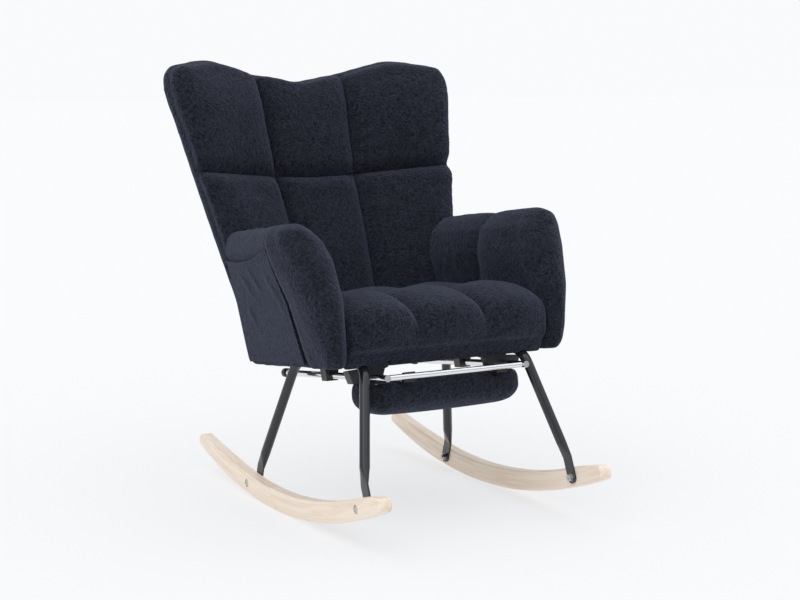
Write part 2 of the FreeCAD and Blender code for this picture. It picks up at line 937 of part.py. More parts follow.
def pocket_mask():
    """What the pocket covers, seen from the side: its mouth sags between its two ends."""
    x = board_half_width
    low_front = V(x, arm_panel_seam(pocket_foot_z) + pocket_edge_inset, pocket_foot_z)
    low_rear = V(x, arm_rear(pocket_foot_z) - pocket_edge_inset, pocket_foot_z)
    high_rear = V(x, arm_rear(pocket_mouth_rear_z) - pocket_edge_inset, pocket_mouth_rear_z)
    high_front = V(x, arm_panel_seam(pocket_mouth_front_z) + pocket_edge_inset, pocket_mouth_front_z)
    sag = (high_rear + high_front) * 0.5 - V(0, 0, pocket_mouth_dip)
    outline = Part.Wire([
        line(low_front, low_rear),
        line(low_rear, high_rear),
        arc(high_rear, sag, high_front),
        line(high_front, low_front),
    ])
    return Part.Face(outline).extrude(V(2 * board_half_width, 0, 0))


def side_pocket():
    sheet = arm_form(soft_gap + pocket_thickness).cut(arm_form(soft_gap))
    return solid_of(sheet.common(pocket_mask()).cut(back_form(2 * soft_gap)))


# Footrest


def rail():
    return pipe(V(rail_x, rail_front_y, rail_z), V(rail_x, rail_rear_y, rail_z), rail_d / 2, rail_wall)


def rail_plug():
    face = V(rail_x, rail_front_y, rail_z)
    cap = rod(face, face - V(0, plug_cap, 0), rail_d / 2)
    stub = peg(face, face + V(0, plug_stub, 0), rail_d / 2 - rail_wall - hole_gap)
    return joined([cap, stub])


def rail_collar():
    end = V(rail_x, rail_rear_y, rail_z)
    start = end - V(0, collar_length, 0)
    return pipe(start, end, collar_d / 2, collar_d / 2 - rail_d / 2 - hole_gap)


def cross_tube():
    reach = rail_x - rail_d / 2 - hole_gap
    return pipe(
        V(-reach, cross_tube_y, rail_z), V(reach, cross_tube_y, rail_z),
        cross_tube_d / 2, cross_tube_wall,
    )


def guide_screw_spots(y):
    inner = rail_x - guide_neck_inner + guide_screw_head_d
    outer = rail_x + guide_neck_outer - guide_screw_head_d
    edge = (guide_flange_depth + guide_depth) / 4
    seat_z = dust_cover_z - guide_flange_height
    return [V(inner, y - edge, seat_z), V(outer, y + edge, seat_z)]


def guide_block(y, foot_width, shoulder_width):
    """A block under the seat board that carries a rail; its outer half ducks under the leg tube."""
    half_foot = foot_width / 2
    half_shoulder = shoulder_width / 2
    start = y - guide_depth / 2
    flange_z = dust_cover_z - guide_flange_height
    corners = [
        V(rail_x - half_foot, start, guide_foot_z),
        V(rail_x + half_foot, start, guide_foot_z),
        V(rail_x + half_shoulder, start, guide_shoulder_z),
        V(rail_x + guide_neck_outer, start, guide_shoulder_z + guide_shoulder_rise),
        V(rail_x + guide_neck_outer, start, dust_cover_z),
        V(rail_x - guide_neck_inner, start, dust_cover_z),
        V(rail_x - guide_neck_inner, start, guide_shoulder_z + guide_shoulder_rise),
        V(rail_x - half_shoulder, start, guide_shoulder_z),
    ]
    body = prism(corners, V(0, guide_depth, 0))
    flange = box(
        rail_x - guide_neck_inner, rail_x + guide_neck_outer,
        y - guide_flange_depth / 2, y + guide_flange_depth / 2,
        flange_z, dust_cover_z,
    )
    bore = rod(V(rail_x, start, rail_z), V(rail_x, start + guide_depth, rail_z), rail_d / 2 + fit_gap)
    holes = [
        peg(spot, spot + V(0, 0, guide_flange_height), guide_screw_d / 2 + hole_gap)
        for spot in guide_screw_spots(y)
    ]
    return solid_of(joined([body, flange]).cut([bore] + holes))


def small_screw(spot, along, length):
    return screw(spot, along, guide_screw_d, guide_screw_head_d, guide_screw_head_height, length)


def guide_screws():
    screws = [
        small_screw(spot, V(0, 0, 1), guide_screw_length)
        for y in (guide_front_y, guide_rear_y)
        for spot in guide_screw_spots(y)
    ]
    return both_sides(screws)


def pad_plan(z, inset):
    """The pad's outline from above, with rounded corners and slightly drawn-in sides."""
    half = pad_half_width - inset
    front = pad_front_y + inset
    rear = pad_rear_y - inset
    corner = pad_corner - inset
    slack = corner * (1 - math.sqrt(0.5))
    middle = (front + rear) / 2
    west = [V(-half, rear - corner, z), V(-half, front + corner, z)]
    south = [V(-half + corner, front, z), V(half - corner, front, z)]
    east = [V(half, front + corner, z), V(half, rear - corner, z)]
    north = [V(half - corner, rear, z), V(-half + corner, rear, z)]
    return Part.Wire([
        arc(west[1], V(-half + slack, front + slack, z), south[0]),
        arc(south[0], V(0, front + pad_long_draw, z), south[1]),
        arc(south[1], V(half - slack, front + slack, z), east[0]),
        arc(east[0], V(half + pad_short_swell, middle, z), east[1]),
        arc(east[1], V(half - slack, rear - slack, z), north[0]),
        arc(north[0], V(0, rear - pad_long_draw, z), north[1]),
        arc(north[1], V(-half + slack, rear - slack, z), west[0]),
        arc(west[0], V(-half - pad_short_swell, middle, z), west[1]),
    ])


def pad_form():
    """The stuffed pad, which hangs crown down while it is stowed."""
    plans = [pad_plan(mix(pad_foot_z, pad_top_z, share), inset) for share, inset in pad_levels]
    return solid_of(loft(plans))


def pad_board_block(grow):
    half = pad_half_width - 2 * pad_board_inset
    return box(
        -half - grow, half + grow,
        pad_front_y + 2 * pad_board_inset - grow, pad_rear_y - 2 * pad_board_inset + grow,
        pad_top_z - pad_board_thickness - grow, pad_top_z + grow,
    )


def pad_foam_block(grow):
    half = pad_half_width - 3 * pad_board_inset
    high = pad_top_z - pad_board_thickness
    return box(
        -half - grow, half + grow,
        pad_front_y + 3 * pad_board_inset - grow, pad_rear_y - 3 * pad_board_inset + grow,
        high - pad_foam_depth - grow, high + grow,
    )


def clip_screw_spots():
    y = cross_tube_y + clip_leaf_length - clip_width / 4
    step = clip_width / 4
    across = [-clip_x - step, -clip_x + step, clip_x - step, clip_x + step]
    return [V(x, y, pad_top_z + clip_leaf) for x in across]


def clip_holes():
    down = V(0, 0, -clip_screw_length - hole_gap)
    return [peg(spot, spot + down, guide_screw_d / 2 + hole_gap) for spot in clip_screw_spots()]


def footrest_board():
    return solid_of(pad_board_block(0).cut(clip_holes()))


def footrest_cover():
    return solid_of(pad_form().cut([pad_board_block(fit_gap), pad_foam_block(fit_gap)]))


def hinge_clip():
    """A sprung strap that grips the cross tube from behind, turns on it and carries the pad board."""
    outer = cross_tube_d / 2 + clip_wall
    start = V(clip_x - clip_width / 2, cross_tube_y, rail_z)
    end = V(clip_x + clip_width / 2, cross_tube_y, rail_z)
    leaf = box(
        start.x, end.x, cross_tube_y, cross_tube_y + clip_leaf_length,
        pad_top_z, pad_top_z + clip_leaf,
    )
    web = box(start.x, end.x, cross_tube_y, cross_tube_y + outer, pad_top_z, rail_z)
    mouth = box(
        start.x, end.x, cross_tube_y - 2 * outer, cross_tube_y - clip_grip,
        rail_z - 2 * outer, rail_z + 2 * outer,
    )
    bore = rod(start, end, cross_tube_d / 2 + fit_gap)
    return solid_of(joined([rod(start, end, outer), leaf, web]).cut([bore, mouth] + clip_holes()))


def clip_screws():
    down = V(0, 0, -1)
    return Part.makeCompound([small_screw(spot, down, clip_screw_length) for spot in clip_screw_spots()])


# Assembly


def left_and_right(nodes, name, shape):
    nodes[name + "_left"] = shape
    nodes[name + "_right"] = mirrored(shape)


def build():
    nodes = {}
    left_and_right(nodes, "rocker", rocker())
    left_and_right(nodes, "leg_frame", leg_frame())
    nodes["rocker_bolts"] = both_sides([rocker_bolt(spot) for spot in bolt_spots()])
    nodes["rocker_washers"] = both_sides([rocker_washer(spot) for spot in bolt_spots()])
    nodes["rocker_nuts"] = both_sides([rocker_nut(spot) for spot in bolt_spots()])
    nodes["seat_board"] = seat_board()
    nodes["dust_cover"] = dust_cover()
    nodes["leg_frame_screws"] = plate_screws()
    left_and_right(nodes, "side_board", solid_of(side_slab(0).cut(side_holes())))
    nodes["side_board_screws"] = both_sides([board_screw(spot, V(-1, 0, 0)) for spot in side_screw_spots()])
    nodes["back_board"] = solid_of(back_slab(0).cut(back_holes()))
    nodes["back_board_screws"] = Part.makeCompound([board_screw(s, V(0, -1, 0)) for s in back_screw_spots()])
    nodes["seat_foam"] = seat_foam_block(0)
    nodes["seat_cover"] = seat_cover()
    nodes["back_cover"] = back_cover()
    left_and_right(nodes, "arm_cover", arm_cover())
    left_and_right(nodes, "side_pocket", side_pocket())
    front_guide = guide_block(guide_front_y, guide_foot_width, guide_shoulder_width)
    left_and_right(nodes, "front_guide", front_guide)
    rear_guide = guide_block(guide_rear_y, rear_guide_foot_width, rear_guide_shoulder_width)
    left_and_right(nodes, "rear_guide", rear_guide)
    nodes["guide_screws"] = guide_screws()
    left_and_right(nodes, "footrest_rail", rail())
    nodes["rail_plugs"] = both_sides([rail_plug()])
    nodes["rail_collars"] = both_sides([rail_collar()])
    nodes["cross_tube"] = cross_tube()
    nodes["footrest_board"] = footrest_board()
    nodes["footrest_foam"] = pad_foam_block(0)
    nodes["footrest_cover"] = footrest_cover()
    left_and_right(nodes, "hinge_clip", hinge_clip())
    nodes["hinge_clip_screws"] = clip_screws()
    return nodes


def standing(nodes):
    """Lean every piece back and put the origin on the floor under the middle of the whole."""
    placed = {}
    for name, shape in nodes.items():
        piece = shape.copy()
        piece.rotate(V(0, rocker_centre_y, rocker_radius), V(1, 0, 0), -rest_tilt)
        placed[name] = piece
    front = min(placed["rocker_left"].tessellate(1.0)[0], key=lambda point: point.y).y
    rear = max(placed["back_cover"].tessellate(1.0)[0], key=lambda point: point.y).y
    for piece in placed.values():
        piece.translate(V(0, -(front + rear) / 2, 0))
    return placed


os.makedirs("parts", exist_ok=True)
for name, shape in standing(build()).items():
    shape.exportStep("parts/" + name + ".step")
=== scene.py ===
import json
import math

import bmesh
import bpy
import numpy as np
from bpy.props import FloatProperty, FloatVectorProperty, IntProperty, PointerProperty
from bpy.types import Operator, Panel, PropertyGroup
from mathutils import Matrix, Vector
from mathutils.bvhtree import BVHTree


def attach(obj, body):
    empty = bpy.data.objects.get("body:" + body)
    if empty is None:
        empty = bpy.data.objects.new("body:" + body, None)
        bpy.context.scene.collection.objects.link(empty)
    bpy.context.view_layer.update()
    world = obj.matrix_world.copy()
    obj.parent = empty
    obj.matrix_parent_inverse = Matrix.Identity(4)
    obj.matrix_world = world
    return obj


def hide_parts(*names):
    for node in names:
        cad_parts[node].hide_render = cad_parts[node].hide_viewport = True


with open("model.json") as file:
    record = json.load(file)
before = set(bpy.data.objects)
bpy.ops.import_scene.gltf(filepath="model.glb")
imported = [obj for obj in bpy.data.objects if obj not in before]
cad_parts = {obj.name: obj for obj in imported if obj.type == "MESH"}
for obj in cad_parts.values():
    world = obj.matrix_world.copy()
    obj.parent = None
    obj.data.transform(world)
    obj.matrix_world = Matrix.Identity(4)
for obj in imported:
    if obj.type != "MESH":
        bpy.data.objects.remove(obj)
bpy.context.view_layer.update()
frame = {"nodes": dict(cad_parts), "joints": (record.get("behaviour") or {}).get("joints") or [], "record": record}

bl_info = {
    "name": "Wingback rocking chair",
    "version": (1, 0, 0),
    "blender": (4, 5, 0),
    "location": "3D View > Sidebar > Rocking chair",
    "description": "Dresses the frame of a wingback rocking chair in its cloth and finishes",
    "category": "Object",
}

NODES = frame["nodes"]
RECORD = frame["record"]

# The chair's own axes: its seat board lies level in them, leaned back on the runners in the room
SLIDE = next(joint for joint in frame["joints"] if joint["name"] == "footrest_slide")
LEAN = math.atan2(SLIDE["axis"][2], -SLIDE["axis"][1])
REST = next(mount for mount in RECORD["mounts"] if mount["name"] == "floor_rest")["pos_m"]
ARC_RADIUS = 1.180
ARC_Y = -0.080
UP = Vector((0, math.sin(LEAN), math.cos(LEAN)))

# Back: two upright seams that spread to the ridge and a level seam that rises to the wings
BACK_FOOT = 0.322
BACK_CUT = 0.030
COLUMN_FOOT = 0.080
COLUMN_SPREAD = 0.032 / 0.632
ROW_Z = 0.727
ROW_RISE = 0.050

# Seat: two seams from front to rear, one across, and the fold at the foot of its front
SEAT_COLUMN = 0.080
SEAT_ROW = -0.062
SEAT_FOLD = 0.338

# Arms: the outer panel's seam leans back from its foot, the inner seam is upright
ARM_HEM = 0.314
PANEL_SEAM_FOOT = -0.160
PANEL_SEAM_LEAN = 0.21
PANEL_SEAM_TOP = 0.585
ARM_INNER_SEAM = -0.030
ARM_REAR_FOOT = 0.150
ARM_REAR_LEAN = 0.175

# Pockets: seen from the side, with soft folds that run forward and down from the mouth
POCKET_FOOT = 0.320
POCKET_MOUTH_FRONT = 0.562
POCKET_MOUTH_REAR = 0.547
POCKET_MOUTH_DIP = 0.016
POCKET_INSET = 0.005
POCKET_FOLDS = (
    ((-0.053, 0.512), (-0.112, 0.424)),
    ((0.108, 0.516), (0.031, 0.452)),
    ((0.040, 0.520), (-0.010, 0.470)),
    ((0.099, 0.441), (0.059, 0.398)),
)
FOLD_WIDTH = 0.0075
HEM_HEIGHT = 0.0012

# How far cloth faces forward where the front, the crowns of the tufts, the level seam and the ridge begin and end
FRONT_TURN = (0.1, 0.5)
CROWN_TURN = (0.45, 0.85)
LEVEL_TURN = (0.5, 0.85)
LIP_TURN = (0.4, 0.8)
OVER_TURN = (-0.25, 0.15)

# Padding: the width of a sewn line, how firmly it is held while filled, and the small heights beside the seams
SEWN_WIDTH = 0.010
SEWN_HOLD = (0.3, 0.8)
UNDER_TURN = (0.4, 0.8)
KNOT_DEPTH = 0.004
TUFT_LIP = 0.004
ARM_LIP = 0.003
FOLD_DEPTH = 0.003
FOOT_COVER = 0.006
RIDGE_LIFT = 0.0045
BOARD_COVER = 0.0012


def slot_colour(slot):
    """The record's colour for a material slot."""
    return tuple(next(m for m in RECORD["materials"] if m["slot"] == slot)["base_color"])


class UpholsterySizes(PropertyGroup):
    """Sizes of the padding, its seams and its cloth."""

    back_mesh: FloatProperty(
        name="Back mesh", description="Mesh size of the back while it is filled", default=0.0085, unit="LENGTH")
    seat_mesh: FloatProperty(
        name="Seat mesh", description="Mesh size of the seat while it is filled", default=0.0072, unit="LENGTH")
    arm_mesh: FloatProperty(
        name="Arm mesh", description="Mesh size of the arms while they are filled", default=0.0072, unit="LENGTH")
    pad_mesh: FloatProperty(
        name="Pad mesh", description="Mesh size of the footrest pad while it is filled", default=0.006,
        unit="LENGTH")
    seam_depth: FloatProperty(
        name="Seam depth", description="How far a sewn seam is drawn in", default=0.0085, unit="LENGTH")
    seam_width: FloatProperty(
        name="Seam width", description="Half width of a drawn seam", default=0.0036, unit="LENGTH")
    tuft_reach: FloatProperty(
        name="Tuft reach", description="How far from a seam the cloth still falls towards it", default=0.015,
        unit="LENGTH")
    tuft_crown: FloatProperty(
        name="Tuft crown", description="How far the middle of a tuft stands above its seams", default=0.013,
        unit="LENGTH")
    tuft_shoulder: FloatProperty(
        name="Tuft shoulder", description="How far from a seam a tuft is still rounded", default=0.034,
        unit="LENGTH")
    swell: FloatProperty(
        name="Swell", description="Farthest that filling pushes the cloth", default=0.007, unit="LENGTH")
    pressure: FloatProperty(
        name="Pressure", description="Pressure of the filling", default=9.0)
    settle_frames: IntProperty(
        name="Settle frames", description="Steps that the cloth takes to swell", default=6)
    pucker: FloatProperty(
        name="Pucker", description="Height of the small puckers along a seam", default=0.0007, unit="LENGTH")
    ripple: FloatProperty(
        name="Ripple", description="Slow unevenness of the filling", default=0.0012, unit="LENGTH")
    arm_settle: FloatProperty(
        name="Arm settle", description="How far the top of the right arm has settled", default=0.009, unit="LENGTH")
    fold_height: FloatProperty(
        name="Fold height", description="Height of the folds in a pocket", default=0.0026, unit="LENGTH")
    pocket_gape: FloatProperty(
        name="Pocket gape", description="How far a pocket's mouth stands open", default=0.003, unit="LENGTH")
    pocket_cloth: FloatProperty(
        name="Pocket cloth", description="Thickness of the pocket's cloth with its pile", default=0.003,
        unit="LENGTH")


class FinishColours(PropertyGroup):
    """Colours of the chair's materials."""

    pile: FloatVectorProperty(
        name="Pile", description="Lit tips of the cloth's pile", subtype="COLOR", default=(0.0275, 0.0305, 0.0445))
    pile_root: FloatVectorProperty(
        name="Pile roots", description="Shaded roots of the pile", subtype="COLOR", default=(0.0055, 0.0062, 0.0095))
    pile_sheen: FloatVectorProperty(
        name="Pile sheen", description="Sheen of the pile seen along its tips", subtype="COLOR",
        default=(0.56, 0.64, 0.92))
    wood: FloatVectorProperty(
        name="Runner wood", description="Pale wood of the runners", subtype="COLOR", default=(0.92, 0.795, 0.67))
    wood_grain: FloatVectorProperty(
        name="Runner grain", description="Darker grain of the runners", subtype="COLOR", default=(0.80, 0.645, 0.50))
    paint: FloatVectorProperty(
        name="Paint", description="Black paint of the leg frames", subtype="COLOR", default=(0.011, 0.012, 0.017))
    zinc: FloatVectorProperty(
        name="Zinc", description="Screws, bolts and nuts", subtype="COLOR", default=slot_colour("zinc_steel"))
    chrome: FloatVectorProperty(
        name="Chrome", description="Rails and cross tube", subtype="COLOR", default=slot_colour("chrome"))
    plastic: FloatVectorProperty(
        name="Plastic", description="Guide blocks", subtype="COLOR", default=(0.035, 0.037, 0.042))
    plywood: FloatVectorProperty(
        name="Plywood", description="Boards inside the chair", subtype="COLOR", default=slot_colour("plywood"))
    lining: FloatVectorProperty(
        name="Lining", description="Dust cloth under the seat", subtype="COLOR",
        default=slot_colour("lining_cloth"))


class StudioSizes(PropertyGroup):
    """Camera, floor and light."""

    camera_place: FloatVectorProperty(
        name="Camera place", description="Where the camera stands", subtype="TRANSLATION",
        default=(-1.7125, REST[1] - 3.0632, 0.9108))
    camera_turn: FloatProperty(
        name="Camera turn", description="Heading of the camera, from the rear direction", subtype="ANGLE",
        default=math.radians(-29.887))
    camera_drop: FloatProperty(
        name="Camera drop", description="How far the camera looks down", subtype="ANGLE",
        default=math.radians(7.804))
    lens: FloatProperty(
        name="Lens", description="Focal length in millimetres on a 36 mm sensor", default=73.06)
    floor_half: FloatProperty(
        name="Floor half", description="Half the width of the floor", default=60.0, unit="LENGTH")
    floor_tone: FloatVectorProperty(
        name="Floor tone", description="Colour of the lit floor", subtype="COLOR", default=(0.950, 0.957, 0.971))
    floor_glow: FloatProperty(
        name="Floor glow", description="Share of the floor's light that shadows do not reach", default=0.67)
    floor_white: FloatProperty(
        name="Floor white", description="How much of the light on it the floor gives back", default=0.285)
    ambient: FloatProperty(
        name="Ambient", description="Even light from all around", default=0.42)
    side_light: FloatProperty(
        name="Side light", description="Soft light from the chair's right-hand side", default=0.04)
    top_light: FloatProperty(
        name="Top light", description="Soft light from above", default=1.0)
    key: FloatProperty(
        name="Key", description="Light of the large soft lamp", default=0.32)
    key_turn: FloatProperty(
        name="Key turn", description="Direction that the key light comes from", subtype="ANGLE",
        default=math.radians(-75))
    key_height: FloatProperty(
        name="Key height", description="Height of the key light above the floor", subtype="ANGLE",
        default=math.radians(50))
    key_size: FloatProperty(
        name="Key size", description="Angle that the key light spans", subtype="ANGLE", default=math.radians(40))


class ChairSettings(PropertyGroup):
    """All that a user may change."""

    cloth: PointerProperty(type=UpholsterySizes)
    colours: PointerProperty(type=FinishColours)
    studio: PointerProperty(type=StudioSizes)


def to_chair(points):
    """Points of the room in the chair's own axes."""
    ahead = points[:, 1] - REST[1]
    above = points[:, 2] - ARC_RADIUS
    y = ARC_Y + ahead * math.cos(LEAN) - above * math.sin(LEAN)
    z = ARC_RADIUS + ahead * math.sin(LEAN) + above * math.cos(LEAN)
    return np.stack([points[:, 0], y, z], axis=1)


def turn_to_chair(ways):
    """Directions of the room in the chair's own axes."""
    y = ways[:, 1] * math.cos(LEAN) - ways[:, 2] * math.sin(LEAN)
    z = ways[:, 1] * math.sin(LEAN) + ways[:, 2] * math.cos(LEAN)
    return np.stack([ways[:, 0], y, z], axis=1)


def turn_to_room(x, y, z):
    """A direction of the chair's axes in the room."""
    return Vector((x, y * math.cos(LEAN) + z * math.sin(LEAN), z * math.cos(LEAN) - y * math.sin(LEAN)))


def to_room(x, y, z):
    """A point of the chair's axes in the room."""
    return turn_to_room(x, y - ARC_Y, z - ARC_RADIUS) + Vector((0, REST[1], ARC_RADIUS))


def ramp(values, low, high):
    """0 below low, 1 above high and a smooth rise between."""
    t = np.clip((values - low) / (high - low), 0, 1)
    return t * t * (3 - 2 * t)


def bell(distance, width):
    """1 on a line and fading to 0 over about two widths."""
    return np.exp(-0.5 * (distance / width) ** 2)


def valley(distance, width):
    """1 on a seam and falling off steeply at first, as stuffed cloth does beside it."""
    return np.exp(-np.abs(distance) / width)


def pillow(distance, shoulder):
    """0 on a seam, rising over a round shoulder to 1."""
    fall = np.clip(1 - np.abs(distance) / shoulder, 0, 1)
    return np.sqrt(1 - fall ** 2)


def tuft(column, row, cloth):
    """1 in the middle of a tuft, rounded down to 0 at its seams."""
    return pillow(column, cloth.tuft_shoulder) * pillow(row, cloth.tuft_shoulder)


def back_seams(x, z):
    """Distances from the back's upright seams and from its level seam."""
    column = np.abs(x) - (COLUMN_FOOT + COLUMN_SPREAD * (z - BACK_FOOT))
    row = z - (ROW_Z + ROW_RISE * np.abs(x))
    return column, row


def unevenness(points):
    """Slow unevenness of hand-filled padding, between -1 and 1."""
    x, y, z = points.T
    waves = np.sin(31 * x + 17 * z + 1.3) + np.sin(23 * y - 41 * z + 0.4) + np.sin(53 * x - 29 * y + 2.1)
    return waves / 3


def puckers(along, distance):
    """Small gathers that stand beside a seam and fade away from it."""
    steps = np.sin(along / 0.0031 + 1.7 * np.sin(along / 0.019))
    return steps * np.exp(-np.abs(distance) / 0.012) * (1 - bell(distance, 0.003))


def ridge(across, down, start, end, width):
    """A soft fold along a line, fading at its two ends."""
    run = np.subtract(end, start)
    length = np.hypot(*run)
    along = ((across - start[0]) * run[0] + (down - start[1]) * run[1]) / length ** 2
    aside = ((across - start[0]) * run[1] - (down - start[1]) * run[0]) / length
    return bell(aside, width) * ramp(along, -0.15, 0.25) * (1 - ramp(along, 0.55, 1.15))


def read_points(mesh):
    points = np.empty(len(mesh.vertices) * 3)
    mesh.vertices.foreach_get("co", points)
    return points.reshape(-1, 3)


def read_normals(mesh):
    normals = np.empty(len(mesh.vertices) * 3)
    mesh.vertex_normals.foreach_get("vector", normals)
    return normals.reshape(-1, 3)


def write_points(mesh, points):
    mesh.vertices.foreach_set("co", points.ravel())
    mesh.update()


def in_chair(piece):
    """Points and normals of a piece in the chair's own axes, one row for each axis."""
    return to_chair(read_points(piece.data)).T, turn_to_chair(read_normals(piece.data)).T


def push_out(piece, heights):
    """Moves each point of a piece along its normal."""
    mesh = piece.data
    write_points(mesh, read_points(mesh) + read_normals(mesh) * heights[:, None])


def apply_modifiers(piece):
    """Puts the result of a piece's modifiers in its mesh."""
    seen = piece.evaluated_get(bpy.context.evaluated_depsgraph_get())
    mesh = bpy.data.meshes.new_from_object(seen)
    piece.modifiers.clear()
    piece.data = mesh


def islands(shape):
    """Groups of joined vertices in a bmesh."""
    left = set(shape.verts)
    groups = []
    while left:
        group = [left.pop()]
        for vert in group:
            near = [edge.other_vert(vert) for edge in vert.link_edges]
            fresh = [other for other in near if other in left]
            left.difference_update(fresh)
            group.extend(dict.fromkeys(fresh))
        groups.append(group)
    return groups


def reach(group):
    """Width of a group of vertices across the chair."""
    across = [vert.co.x for vert in group]
    return max(across) - min(across)


def keep_widest(shape):
    """Leaves only the widest island of a bmesh."""
    groups = sorted(islands(shape), key=reach)
    spare = [vert for group in groups[:-1] for vert in group]
    bmesh.ops.delete(shape, geom=spare, context="VERTS")


def node_shape(*names):
    """A bmesh of copies of CAD nodes, with their doubles merged."""
    shape = bmesh.new()
    for name in names:
        shape.from_mesh(NODES[name].data)
    bmesh.ops.remove_doubles(shape, verts=shape.verts[:], dist=1e-5)
    return shape


def back_shape():
    """The back's outer skin, closed over the hollow behind its padding."""
    shape = node_shape("back_cover")
    foot = min(vert.co.dot(UP) for vert in shape.verts)
    everything = shape.verts[:] + shape.edges[:] + shape.faces[:]
    level = UP * (foot + BACK_CUT)
    bmesh.ops.bisect_plane(shape, geom=everything, plane_co=level, plane_no=UP, clear_inner=True)
    keep_widest(shape)
    rim = [edge for edge in shape.edges if edge.is_boundary]
    caps = bmesh.ops.triangle_fill(shape, edges=rim, use_beauty=True)["geom"]
    caps = [face for face in caps if isinstance(face, bmesh.types.BMFace)]
    grown = bmesh.ops.extrude_face_region(shape, geom=caps)["geom"]
    moved = [item for item in grown if isinstance(item, bmesh.types.BMVert)]
    bmesh.ops.translate(shape, verts=moved, vec=-UP * BACK_CUT)
    bmesh.ops.delete(shape, geom=caps, context="FACES_ONLY")
    bmesh.ops.recalc_face_normals(shape, faces=shape.faces[:])
    return shape


def new_piece(name, shape):
    """An object at the origin with a bmesh as its mesh."""
    mesh = bpy.data.meshes.new(name)
    shape.to_mesh(mesh)
    shape.free()
    piece = bpy.data.objects.new(name, mesh)
    bpy.context.scene.collection.objects.link(piece)
    return piece


def soften_ridge(piece):
    """Rounds the back's ridge and the corners of its wings, at about the same height."""
    z = in_chair(piece)[0][2]
    top = ramp(z, 0.84, 0.91)
    group = piece.vertex_groups.new(name="ridge")
    for index in np.nonzero(top > 0.01)[0]:
        group.add([int(index)], float(top[index]), "REPLACE")
    round_off = piece.modifiers.new("Round off", "SMOOTH")
    round_off.factor = 1.0
    round_off.iterations = 14
    round_off.vertex_group = "ridge"
    apply_modifiers(piece)
    piece.vertex_groups.clear()
    push_out(piece, RIDGE_LIFT * top)


def cloth_skin(name, shape, mesh_size):
    """An even mesh over a shape, with its hard edges eased and its size kept."""
    piece = new_piece(name, shape)
    remesh = piece.modifiers.new("Even mesh", "REMESH")
    remesh.mode = "VOXEL"
    remesh.voxel_size = mesh_size
    for factor in (1.0, -1.05) * 10:
        ease = piece.modifiers.new("Ease", "SMOOTH")
        ease.factor = factor
        ease.iterations = 1
    apply_modifiers(piece)
    even = bmesh.new()
    even.from_mesh(piece.data)
    keep_widest(even)
    even.to_mesh(piece.data)
    even.free()
    return piece


def even_out(mesh, values, rounds):
    """Spreads values over a mesh from each point to its neighbours."""
    ends = np.empty(len(mesh.edges) * 2, dtype=np.int32)
    mesh.edges.foreach_get("vertices", ends)
    first, last = ends.reshape(-1, 2).T
    count = len(values)
    near = np.bincount(ends, minlength=count)
    for _ in range(rounds):
        around = np.bincount(first, values[last], count) + np.bincount(last, values[first], count)
        values = (values + around / near) / 2
    return values


def fill_cloth(piece, held, limit, cloth):
    """Fills a piece like a cushion: its cloth swells where it is not held, by no more than its limit."""
    mesh = piece.data
    start = read_points(mesh)
    pins = piece.vertex_groups.new(name="held")
    for index in np.nonzero(held > 0.02)[0]:
        pins.add([int(index)], float(held[index]), "REPLACE")
    simulation = piece.modifiers.new("Cloth", "CLOTH")
    settings = simulation.settings
    settings.quality = 4
    settings.use_pressure = True
    settings.uniform_pressure_force = cloth.pressure
    settings.effector_weights.gravity = 0
    settings.vertex_group_mass = "held"
    simulation.point_cache.frame_start = 1
    simulation.point_cache.frame_end = cloth.settle_frames
    scene = bpy.context.scene
    for step in range(1, cloth.settle_frames + 1):
        scene.frame_set(step)
    seen = piece.evaluated_get(bpy.context.evaluated_depsgraph_get())
    swelling = np.sum((read_points(seen.data) - start) * read_normals(mesh), axis=1)
    piece.modifiers.clear()
    piece.vertex_groups.clear()
    scene.frame_set(1)
    push_out(piece, np.clip(even_out(mesh, swelling, 12), 0, limit))


def refine(piece):
    """Divides a filled piece once, smoothly."""
    fine = piece.modifiers.new("Fine", "SUBSURF")
    fine.levels = 1
    fine.render_levels = 1
    apply_modifiers(piece)


def score(piece, cloth, seams):
    """Lays edges into a piece along its seams, so that they stay crisp when they are drawn in."""
    shape = bmesh.new()
    shape.from_mesh(piece.data)
    for spot, way, shown in seams:
        way = way.normalized()
        for aside in (-1, 0, 1):
            level = spot + way * aside * cloth.seam_width
            faces = [face for face in shape.faces if shown(face)]
            faces = [face for face in faces if abs((face.verts[0].co - level).dot(way)) < 0.02]
            edges = dict.fromkeys(edge for face in faces for edge in face.edges)
            verts = dict.fromkeys(vert for face in faces for vert in face.verts)
            bmesh.ops.bisect_plane(
                shape, geom=[*verts, *edges, *faces], dist=2e-4, plane_co=level, plane_no=way)
    shape.to_mesh(piece.data)
    shape.free()


def shade_smooth(piece):
    piece.data.polygons.foreach_set("use_smooth", [True] * len(piece.data.polygons))
    piece.data.update()


def dress(piece, body, material, slot, *replaced):
    """Sets a new piece in the frame in place of CAD nodes."""
    shade_smooth(piece)
    piece.data.materials.clear()
    piece.data.materials.append(material)
    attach(piece, body)
    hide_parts(*replaced)


def blank_material(name):
    """A material with its shader, ready for nodes."""
    material = bpy.data.materials.new(name)
    material.use_nodes = True
    shader = material.node_tree.nodes["Principled BSDF"]
    return material, material.node_tree.nodes, material.node_tree.links, shader


def noise(nodes, links, place, scale, detail, distortion=0.0):
    """A noise pattern on some coordinates."""
    pattern = nodes.new("ShaderNodeTexNoise")
    pattern.inputs["Scale"].default_value = scale
    pattern.inputs["Detail"].default_value = detail
    pattern.inputs["Distortion"].default_value = distortion
    links.new(place, pattern.inputs["Vector"])
    return pattern.outputs["Fac"]


